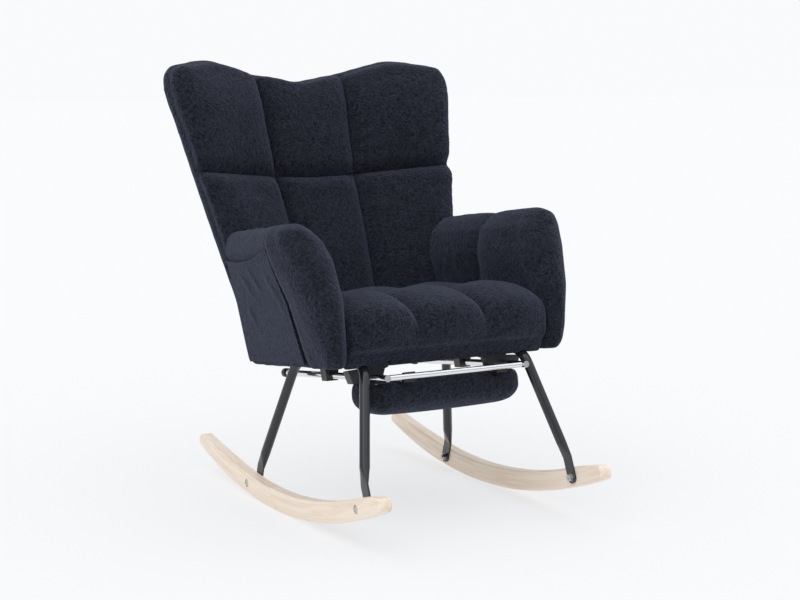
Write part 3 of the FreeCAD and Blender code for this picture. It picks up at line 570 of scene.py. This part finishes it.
def two_tones(nodes, links, pattern, low, dark, high, light):
    """Turns a pattern into a colour between two tones."""
    tone = nodes.new("ShaderNodeValToRGB")
    tone.color_ramp.elements[0].position = low
    tone.color_ramp.elements[0].color = (*dark, 1)
    tone.color_ramp.elements[1].position = high
    tone.color_ramp.elements[1].color = (*light, 1)
    links.new(pattern, tone.inputs["Fac"])
    return tone.outputs["Color"]


def emboss(nodes, links, shader, pattern, strength, distance):
    """Raises a pattern on a material's surface."""
    bump = nodes.new("ShaderNodeBump")
    bump.inputs["Strength"].default_value = strength
    bump.inputs["Distance"].default_value = distance
    links.new(pattern, bump.inputs["Height"])
    links.new(bump.outputs["Normal"], shader.inputs["Normal"])


def vary(nodes, links, pattern, low, high, socket):
    """Lets a pattern drive a socket between two values."""
    span = nodes.new("ShaderNodeMapRange")
    span.inputs["To Min"].default_value = low
    span.inputs["To Max"].default_value = high
    links.new(pattern, span.inputs["Value"])
    links.new(span.outputs["Result"], socket)


def even_finish(name, colour, roughness, metallic=0.0, coat=0.0, grain=220.0, relief=0.0002):
    """Paint, metal or moulded plastic with a faint grain and slightly uneven gloss."""
    material, nodes, links, shader = blank_material(name)
    shader.inputs["Base Color"].default_value = (*colour, 1)
    shader.inputs["Metallic"].default_value = metallic
    shader.inputs["Coat Weight"].default_value = coat
    shader.inputs["Coat Roughness"].default_value = 0.08
    place = nodes.new("ShaderNodeTexCoord").outputs["Object"]
    rub = noise(nodes, links, place, 38, 4)
    vary(nodes, links, rub, 0.7 * roughness, 1.3 * roughness, shader.inputs["Roughness"])
    fine = noise(nodes, links, place, grain, 2)
    emboss(nodes, links, shader, fine, 0.25, relief)
    return material


def pile_cloth(colours):
    """Short curled pile: dark seen into, with a soft sheen along its tips."""
    made = bpy.data.materials.get("pile_cloth")
    if made:
        return made
    material, nodes, links, shader = blank_material("pile_cloth")
    shader.inputs["Roughness"].default_value = 0.95
    shader.inputs["Specular IOR Level"].default_value = 0.1
    shader.inputs["Sheen Weight"].default_value = 0.22
    shader.inputs["Sheen Roughness"].default_value = 0.42
    shader.inputs["Sheen Tint"].default_value = (*colours.pile_sheen, 1)
    place = nodes.new("ShaderNodeTexCoord").outputs["Object"]
    curls = noise(nodes, links, place, 125, 2.5, 1.8)
    # The curl pattern varies the pile's tone and paints shade into its roots and light on its tips.
    shader_colour = two_tones(nodes, links, curls, 0.33, colours.pile_root, 0.66, colours.pile)
    links.new(shader_colour, shader.inputs["Base Color"])
    emboss(nodes, links, shader, curls, 0.9, 0.0045)
    return material


def wood(name, light, dark, gloss, bent):
    """Pale wood under a matt varnish, its grain straight or bent along the runners' arc."""
    material, nodes, links, shader = blank_material(name)
    place = nodes.new("ShaderNodeTexCoord").outputs["Object"]
    if bent:
        centre = nodes.new("ShaderNodeVectorMath")
        centre.operation = "SUBTRACT"
        centre.inputs[1].default_value = (0, REST[1], ARC_RADIUS)
        links.new(place, centre.inputs[0])
        parts = nodes.new("ShaderNodeSeparateXYZ")
        links.new(centre.outputs["Vector"], parts.inputs["Vector"])
        swing = nodes.new("ShaderNodeMath")
        swing.operation = "ARCTAN2"
        links.new(parts.outputs["Y"], swing.inputs[0])
        links.new(parts.outputs["Z"], swing.inputs[1])
        flat = nodes.new("ShaderNodeVectorMath")
        flat.operation = "MULTIPLY"
        flat.inputs[1].default_value = (0, 1, 1)
        links.new(centre.outputs["Vector"], flat.inputs[0])
        radius = nodes.new("ShaderNodeVectorMath")
        radius.operation = "LENGTH"
        links.new(flat.outputs["Vector"], radius.inputs[0])
        laid = nodes.new("ShaderNodeCombineXYZ")
        links.new(parts.outputs["X"], laid.inputs["X"])
        links.new(swing.outputs["Value"], laid.inputs["Y"])
        links.new(radius.outputs["Value"], laid.inputs["Z"])
        place = laid.outputs["Vector"]
    along = nodes.new("ShaderNodeMapping")
    along.inputs["Scale"].default_value = (46, 3.4, 46)
    links.new(place, along.inputs["Vector"])
    grain = noise(nodes, links, along.outputs["Vector"], 1.9, 7, 0.8)
    links.new(two_tones(nodes, links, grain, 0.30, dark, 0.58, light), shader.inputs["Base Color"])
    vary(nodes, links, grain, 1.15 * gloss, 0.85 * gloss, shader.inputs["Roughness"])
    emboss(nodes, links, shader, grain, 0.12, 0.0008)
    return material


def woven_lining(colours):
    """Thin black lining cloth with a plain weave."""
    material, nodes, links, shader = blank_material("lining_cloth")
    shader.inputs["Roughness"].default_value = 0.9
    place = nodes.new("ShaderNodeTexCoord").outputs["Object"]
    threads = []
    for direction in ("X", "Y"):
        wave = nodes.new("ShaderNodeTexWave")
        wave.bands_direction = direction
        wave.inputs["Scale"].default_value = 190
        wave.inputs["Distortion"].default_value = 0.6
        links.new(place, wave.inputs["Vector"])
        threads.append(wave.outputs["Fac"])
    weave = nodes.new("ShaderNodeMath")
    weave.operation = "MAXIMUM"
    links.new(threads[0], weave.inputs[0])
    links.new(threads[1], weave.inputs[1])
    dark = [0.4 * value for value in colours.lining]
    tone = two_tones(nodes, links, weave.outputs["Value"], 0.2, dark, 0.9, colours.lining)
    links.new(tone, shader.inputs["Base Color"])
    emboss(nodes, links, shader, weave.outputs["Value"], 0.6, 0.0006)
    return material


def finish_nodes(material, *names):
    """Gives CAD nodes a material and smooth round faces."""
    for name in names:
        node = NODES[name]
        node.data.materials.clear()
        node.data.materials.append(material)
        shade_smooth(node)
        weld = node.modifiers.new("Weld", "WELD")
        weld.merge_threshold = 1e-5
        split = node.modifiers.new("Crisp edges", "EDGE_SPLIT")
        split.split_angle = math.radians(32)


class CHAIR_OT_back(Operator):
    """Upholsters the tufted back with its wings"""

    bl_idname = "chair.back"
    bl_label = "Tufted back"

    def execute(self, context):
        settings = context.scene.chair
        cloth = settings.cloth
        piece = cloth_skin("back_upholstery", back_shape(), cloth.back_mesh)
        soften_ridge(piece)
        (x, y, z), facing = in_chair(piece)
        column, row = back_seams(x, z)
        front = ramp(-facing[1], *FRONT_TURN)
        across = bell(row, SEWN_WIDTH) * ramp(-facing[1], *LEVEL_TURN)
        sewn = np.maximum(bell(column, SEWN_WIDTH) * front, across)
        held = np.maximum(ramp(sewn, *SEWN_HOLD), 1 - front)
        fill_cloth(piece, held, cloth.swell * front, cloth)

        refine(piece)
        seams = []
        for side in (1, -1):
            spot = to_room(side * COLUMN_FOOT, 0, BACK_FOOT)
            way = turn_to_room(side, 0, -COLUMN_SPREAD)
            seams.append((spot, way, lambda face: face.normal.y < 0.1))
            way = turn_to_room(-side * ROW_RISE, 0, 1)
            own = lambda face, side=side: face.normal.y < -0.1 and side * face.verts[0].co.x > -0.01
            seams.append((to_room(0, 0, ROW_Z), way, own))
        score(piece, cloth, seams)

        points, facing = in_chair(piece)
        x, y, z = points
        column, row = back_seams(x, z)
        front = ramp(-facing[1], *FRONT_TURN)
        over = ramp(-facing[1], *OVER_TURN)
        upright = valley(column, cloth.tuft_reach) * (0.5 * over + 0.5 * front)
        level = valley(row, cloth.tuft_reach) * ramp(-facing[1], *LEVEL_TURN)
        spread = 1 - bell(column, 0.030)
        fuller = TUFT_LIP * bell(row + 0.026, 0.015) * spread * ramp(-facing[1], *LIP_TURN)
        small = cloth.pucker * (puckers(z, column) * over + puckers(x, row) * front)
        knots = KNOT_DEPTH * bell(np.hypot(column, row), 0.016) * front
        crown = cloth.tuft_crown * tuft(column, row, cloth) * ramp(-facing[1], *CROWN_TURN)
        heights = crown + fuller + small - cloth.seam_depth * np.maximum(upright, level) - knots
        heights += FOOT_COVER * ramp(facing[1], 0.0, 0.5) * (1 - ramp(z, BACK_FOOT + 0.03, BACK_FOOT + 0.10))
        push_out(piece, heights + cloth.ripple * unevenness(points.T) * front)
        dress(piece, "chair", pile_cloth(settings.colours), "pile_fabric", "back_cover")
        return {"FINISHED"}


class CHAIR_OT_seat(Operator):
    """Upholsters the seat with its rolled front"""

    bl_idname = "chair.seat"
    bl_label = "Seat cushion"

    def execute(self, context):
        settings = context.scene.chair
        cloth = settings.cloth
        piece = cloth_skin("seat_upholstery", node_shape("seat_cover", "seat_foam"), cloth.seat_mesh)
        (x, y, z), facing = in_chair(piece)
        column = np.abs(x) - SEAT_COLUMN
        top = ramp(facing[2], 0.3, 0.7)
        shown = ramp(facing[2] - facing[1], 0.2, 0.6)
        sewn = np.maximum(bell(column, SEWN_WIDTH) * shown, bell(y - SEAT_ROW, SEWN_WIDTH) * top)
        fold = bell(z - SEAT_FOLD, 0.008) * ramp(-facing[1], 0.3, 0.7)
        under = ramp(-facing[2], *UNDER_TURN)
        held = np.maximum(np.maximum(ramp(sewn, *SEWN_HOLD), ramp(fold, 0.4, 0.8)), under)
        fill_cloth(piece, held, 0.7 * cloth.swell * np.ones(len(x)), cloth)

        refine(piece)
        seams = [
            (to_room(0, 0, SEAT_FOLD), turn_to_room(0, 0, 1), lambda face: face.normal.y < -0.3),
            (to_room(0, SEAT_ROW, 0), turn_to_room(0, 1, 0), lambda face: face.normal.z > 0.2),
        ]
        for side in (1, -1):
            ahead = lambda face: face.normal.z - face.normal.y > 0.2
            seams.append((to_room(side * SEAT_COLUMN, 0, 0), Vector((1, 0, 0)), ahead))
        score(piece, cloth, seams)

        points, facing = in_chair(piece)
        x, y, z = points
        column = np.abs(x) - SEAT_COLUMN
        row = y - SEAT_ROW
        top = ramp(facing[2], 0.3, 0.7)
        front = ramp(-facing[1], 0.3, 0.7)
        shown = ramp(facing[2] - facing[1], 0.2, 0.6) * ramp(z, 0.365, 0.42)
        upright = valley(column, cloth.tuft_reach) * shown
        level = valley(row, cloth.tuft_reach) * top
        fold = bell(z - SEAT_FOLD, 0.005) * front
        small = cloth.pucker * (puckers(y + z, column) * shown + puckers(x, row) * top)
        knots = KNOT_DEPTH * bell(np.hypot(column, row), 0.014) * top
        crown = 0.6 * cloth.tuft_crown * tuft(column, row, cloth) * shown
        heights = crown + small - cloth.seam_depth * np.maximum(upright, level) - FOLD_DEPTH * fold - knots
        push_out(piece, heights + cloth.ripple * unevenness(points.T) * shown)
        dress(piece, "chair", pile_cloth(settings.colours), "pile_fabric", "seat_cover", "seat_foam")
        return {"FINISHED"}


class CHAIR_OT_arms(Operator):
    """Upholsters both arms"""

    bl_idname = "chair.arms"
    bl_label = "Padded arms"

    def execute(self, context):
        settings = context.scene.chair
        cloth = settings.cloth
        for side, sign in (("left", 1), ("right", -1)):
            shape = node_shape("arm_cover_" + side, "side_board_" + side)
            piece = cloth_skin("arm_upholstery_" + side, shape, cloth.arm_mesh)
            (x, y, z), facing = in_chair(piece)
            if sign < 0:
                drop = cloth.arm_settle * ramp(z, 0.50, 0.61)
                write_points(piece.data, read_points(piece.data) - np.outer(drop, UP))
            outer = ramp(sign * facing[0], 0.2, 0.6)
            inner = ramp(facing[2] - sign * facing[0], 0.3, 0.7)
            ahead = PANEL_SEAM_FOOT + PANEL_SEAM_LEAN * (z - ARM_HEM) - y
            upright = bell(y - ARM_INNER_SEAM, SEWN_WIDTH) * inner
            sewn = np.maximum(bell(ahead, SEWN_WIDTH) * outer, upright)
            panel = outer * ramp(-ahead, -0.004, 0.008)
            under = ramp(-facing[2], *UNDER_TURN)
            held = np.maximum(np.maximum(ramp(sewn, *SEWN_HOLD), under), panel)
            fill_cloth(piece, held, 0.7 * cloth.swell * np.ones(len(x)), cloth)

            refine(piece)
            out = lambda face, sign=sign: sign * face.normal.x > 0.2
            into = lambda face, sign=sign: face.normal.z - sign * face.normal.x > 0.2
            seams = [
                (to_room(0, PANEL_SEAM_FOOT, ARM_HEM), turn_to_room(0, 1, -PANEL_SEAM_LEAN), out),
                (to_room(0, ARM_INNER_SEAM, 0), turn_to_room(0, 1, 0), into),
            ]
            score(piece, cloth, seams)

            points, facing = in_chair(piece)
            x, y, z = points
            outer = ramp(sign * facing[0], 0.2, 0.6)
            inner = ramp(facing[2] - sign * facing[0], 0.3, 0.7)
            ahead = PANEL_SEAM_FOOT + PANEL_SEAM_LEAN * (z - ARM_HEM) - y
            across = y - ARM_INNER_SEAM
            below_top = 1 - ramp(z, PANEL_SEAM_TOP - 0.01, PANEL_SEAM_TOP + 0.04)
            panel = bell(ahead, cloth.seam_width) * outer * below_top
            upright = valley(across, cloth.tuft_reach) * inner
            fuller = ARM_LIP * bell(ahead - 0.022, 0.013) * outer
            beside = puckers(z, ahead) * outer * ramp(ahead, 0, 0.004)
            small = cloth.pucker * (beside + puckers(x + z, across) * inner)
            heights = fuller + small - cloth.seam_depth * (0.8 * panel + 0.6 * upright)
            calm = 1 - outer * ramp(-ahead, 0, 0.01)
            push_out(piece, heights + cloth.ripple * unevenness(points.T) * calm)
            dress(piece, "chair", pile_cloth(settings.colours), "pile_fabric", "arm_cover_" + side)
        return {"FINISHED"}


class CHAIR_OT_pockets(Operator):
    """Lays the cloth of the pockets on the arms"""

    bl_idname = "chair.pockets"
    bl_label = "Side pockets"

    def execute(self, context):
        settings = context.scene.chair
        cloth = settings.cloth
        for side, sign in (("left", 1), ("right", -1)):
            name = "side_pocket_" + side
            solid = node_shape(name)
            skin = BVHTree.FromBMesh(solid)
            solid.free()
            shape = bmesh.new()
            bmesh.ops.create_grid(shape, x_segments=84, y_segments=72, size=0.5)
            for vert in shape.verts:
                back = vert.co.x + 0.5
                rise = vert.co.y + 0.5
                mouth = POCKET_MOUTH_FRONT + (POCKET_MOUTH_REAR - POCKET_MOUTH_FRONT) * back
                mouth -= 4 * POCKET_MOUTH_DIP * back * (1 - back)
                z = POCKET_FOOT + 0.002 + (mouth - 0.002 - POCKET_FOOT) * rise
                seam = PANEL_SEAM_FOOT + PANEL_SEAM_LEAN * (z - ARM_HEM) + POCKET_INSET
                rear = ARM_REAR_FOOT + ARM_REAR_LEAN * (z - ARM_HEM) - POCKET_INSET
                across = seam + (rear - seam) * back
                aim = to_room(sign * 0.6, across, z)
                hit = skin.ray_cast(aim, Vector((-sign, 0, 0)))[0]
                if hit is None:
                    hit = skin.find_nearest(aim - sign * Vector((0.28, 0, 0)))[0]
                fall = sum(ridge(across, z, start, end, FOLD_WIDTH) for start, end in POCKET_FOLDS)
                hem = bell(mouth - z - 0.004, 0.004) - 0.6 * bell(mouth - z - 0.013, 0.002)
                gape = math.sin(math.pi * back) * ramp(rise, 0.80, 1.0)
                lift = cloth.fold_height * fall + HEM_HEIGHT * hem + cloth.pocket_gape * gape
                vert.co = hit + Vector((sign * lift, 0, 0))
            bmesh.ops.recalc_face_normals(shape, faces=shape.faces[:])
            if shape.faces[:][0].normal.x * sign < 0:
                bmesh.ops.reverse_faces(shape, faces=shape.faces[:])
            area = sum(face.calc_area() for face in shape.faces)
            piece = new_piece("pocket_cloth_" + side, shape)
            wall = piece.modifiers.new("Cloth", "SOLIDIFY")
            wall.thickness = cloth.pocket_cloth
            wall.offset = -1
            dress(piece, "chair", pile_cloth(settings.colours), "pile_fabric", name)
        return {"FINISHED"}


class CHAIR_OT_footrest_pad(Operator):
    """Upholsters the footrest pad"""

    bl_idname = "chair.footrest_pad"
    bl_label = "Footrest pad"

    def execute(self, context):
        settings = context.scene.chair
        cloth = settings.cloth
        names = ("footrest_cover", "footrest_foam")
        piece = cloth_skin("footrest_upholstery", node_shape(*names, "footrest_board"), cloth.pad_mesh)
        facing = in_chair(piece)[1]
        board = ramp(facing[2], 0.5, 0.8)
        fill_cloth(piece, board, 0.5 * cloth.swell * np.ones(len(board)), cloth)
        push_out(piece, BOARD_COVER * board)
        refine(piece)
        dress(piece, "footrest_pad", pile_cloth(settings.colours), "pile_fabric", *names)
        return {"FINISHED"}


class CHAIR_OT_lining(Operator):
    """Stretches the dust cloth under the seat board"""

    bl_idname = "chair.lining"
    bl_label = "Dust cloth"

    def execute(self, context):
        settings = context.scene.chair
        shape = node_shape("dust_cover")
        area = sum(face.calc_area() for face in shape.faces if face.normal.dot(UP) < -0.5)
        piece = new_piece("dust_cloth", shape)
        dress(piece, "chair", woven_lining(settings.colours), "lining_cloth", "dust_cover")
        split = piece.modifiers.new("Crisp edges", "EDGE_SPLIT")
        split.split_angle = math.radians(32)
        return {"FINISHED"}


class CHAIR_OT_runners(Operator):
    """Finishes the wooden runners"""

    bl_idname = "chair.runners"
    bl_label = "Runners"

    def execute(self, context):
        colours = context.scene.chair.colours
        finish_nodes(wood("runner_wood", colours.wood, colours.wood_grain, 0.42, True), "rocker_left", "rocker_right")
        return {"FINISHED"}


class CHAIR_OT_metalwork(Operator):
    """Finishes the leg frames, the rails, the guides and all fasteners"""

    bl_idname = "chair.metalwork"
    bl_label = "Metalwork"

    def execute(self, context):
        colours = context.scene.chair.colours
        paint = even_finish("black_paint", colours.paint, 0.22, coat=0.3, relief=0.00003)
        finish_nodes(paint, "leg_frame_left", "leg_frame_right", "hinge_clip_left", "hinge_clip_right")
        chrome = even_finish("chrome", colours.chrome, 0.12, metallic=1.0, relief=0.00005)
        finish_nodes(chrome, "footrest_rail_left", "footrest_rail_right", "cross_tube", "rail_plugs")
        zinc = even_finish("zinc_steel", colours.zinc, 0.30, metallic=1.0)
        finish_nodes(zinc, "rocker_bolts", "rocker_washers", "rocker_nuts", "leg_frame_screws")
        finish_nodes(zinc, "side_board_screws", "back_board_screws", "guide_screws", "hinge_clip_screws")
        plastic = even_finish("grey_plastic", colours.plastic, 0.45, grain=420)
        finish_nodes(plastic, "front_guide_left", "front_guide_right", "rear_guide_left", "rear_guide_right")
        finish_nodes(plastic, "rail_collars")
        return {"FINISHED"}


class CHAIR_OT_boards(Operator):
    """Finishes the boards inside the chair"""

    bl_idname = "chair.boards"
    bl_label = "Boards"

    def execute(self, context):
        light = context.scene.chair.colours.plywood
        plywood = wood("plywood", light, [0.7 * value for value in light], 0.6, False)
        finish_nodes(plywood, "seat_board", "back_board", "footrest_board", "side_board_left", "side_board_right")
        return {"FINISHED"}


class CHAIR_OT_stage(Operator):
    """Sets the floor, the light and the camera"""

    bl_idname = "chair.stage"
    bl_label = "Stage"

    def execute(self, context):
        studio = context.scene.chair.studio
        scene = context.scene
        shape = bmesh.new()
        bmesh.ops.create_grid(shape, x_segments=1, y_segments=1, size=studio.floor_half)
        floor = new_piece("floor", shape)
        material, _, _, shader = blank_material("floor")
        shader.inputs["Base Color"].default_value = [studio.floor_white * v for v in studio.floor_tone] + [1]
        shader.inputs["Emission Color"].default_value = (*studio.floor_tone, 1)
        shader.inputs["Emission Strength"].default_value = studio.floor_glow
        shader.inputs["Roughness"].default_value = 1.0
        shader.inputs["Specular IOR Level"].default_value = 0.0
        floor.data.materials.append(material)

        lamp = bpy.data.lights.new("key", "SUN")
        lamp.energy = studio.key
        lamp.angle = studio.key_size
        key = bpy.data.objects.new("key", lamp)
        key.rotation_euler = (math.pi / 2 - studio.key_height, 0, studio.key_turn)
        scene.collection.objects.link(key)

        world = bpy.data.worlds.new("studio")
        world.use_nodes = True
        scene.world = world
        nodes = world.node_tree.nodes
        links = world.node_tree.links
        soft = nodes["Background"]
        soft.inputs["Color"].default_value = (0.97, 0.985, 1.0, 1)
        place = nodes.new("ShaderNodeTexCoord").outputs["Generated"]
        total = None
        for aim, gain in (((-0.98, 0.05, 0.2), studio.side_light), ((0, 0, 1), studio.top_light)):
            lobe = nodes.new("ShaderNodeVectorMath")
            lobe.operation = "DOT_PRODUCT"
            lobe.inputs[1].default_value = aim
            links.new(place, lobe.inputs[0])
            glow = nodes.new("ShaderNodeMapRange")
            glow.interpolation_type = "SMOOTHSTEP"
            glow.inputs["To Max"].default_value = gain
            links.new(lobe.outputs["Value"], glow.inputs["Value"])
            both = nodes.new("ShaderNodeMath")
            both.inputs[1].default_value = studio.ambient
            links.new(glow.outputs["Result"], both.inputs[0])
            if total:
                links.new(total, both.inputs[1])
            total = both.outputs["Value"]
        links.new(total, soft.inputs["Strength"])
        seen = nodes.new("ShaderNodeBackground")
        seen.inputs["Color"].default_value = (*studio.floor_tone, 1)
        path = nodes.new("ShaderNodeLightPath")
        either = nodes.new("ShaderNodeMixShader")
        links.new(path.outputs["Is Camera Ray"], either.inputs["Fac"])
        links.new(soft.outputs["Background"], either.inputs[1])
        links.new(seen.outputs["Background"], either.inputs[2])
        links.new(either.outputs["Shader"], nodes["World Output"].inputs["Surface"])

        view = bpy.data.cameras.new("camera")
        view.lens = studio.lens
        view.sensor_width = 36
        view.clip_end = 4 * studio.floor_half
        camera = bpy.data.objects.new("camera", view)
        camera.location = studio.camera_place
        camera.rotation_euler = (math.pi / 2 - studio.camera_drop, 0, studio.camera_turn)
        scene.collection.objects.link(camera)
        scene.camera = camera
        scene.view_settings.view_transform = "Standard"
        return {"FINISHED"}


PIECES = (
    CHAIR_OT_back,
    CHAIR_OT_seat,
    CHAIR_OT_arms,
    CHAIR_OT_pockets,
    CHAIR_OT_footrest_pad,
    CHAIR_OT_lining,
    CHAIR_OT_runners,
    CHAIR_OT_metalwork,
    CHAIR_OT_boards,
    CHAIR_OT_stage,
)


class CHAIR_PT_panel(Panel):
    """Pieces of the chair and their settings"""

    bl_idname = "CHAIR_PT_panel"
    bl_label = "Rocking chair"
    bl_space_type = "VIEW_3D"
    bl_region_type = "UI"
    bl_category = "Rocking chair"

    def draw(self, context):
        settings = context.scene.chair
        for group in (settings.cloth, settings.colours, settings.studio):
            column = self.layout.column()
            for name in group.__annotations__:
                column.prop(group, name)
        for piece in PIECES:
            self.layout.operator(piece.bl_idname)


CLASSES = (UpholsterySizes, FinishColours, StudioSizes, ChairSettings, *PIECES, CHAIR_PT_panel)


def register():
    for each in CLASSES:
        bpy.utils.register_class(each)
    bpy.types.Scene.chair = PointerProperty(type=ChairSettings)


def unregister():
    del bpy.types.Scene.chair
    for each in reversed(CLASSES):
        bpy.utils.unregister_class(each)


def main():
    register()
    bpy.ops.chair.back()
    bpy.ops.chair.seat()
    bpy.ops.chair.arms()
    bpy.ops.chair.pockets()
    bpy.ops.chair.footrest_pad()
    bpy.ops.chair.lining()
    bpy.ops.chair.runners()
    bpy.ops.chair.metalwork()
    bpy.ops.chair.boards()
    bpy.ops.chair.stage()


if __name__ == "__main__":
    main()
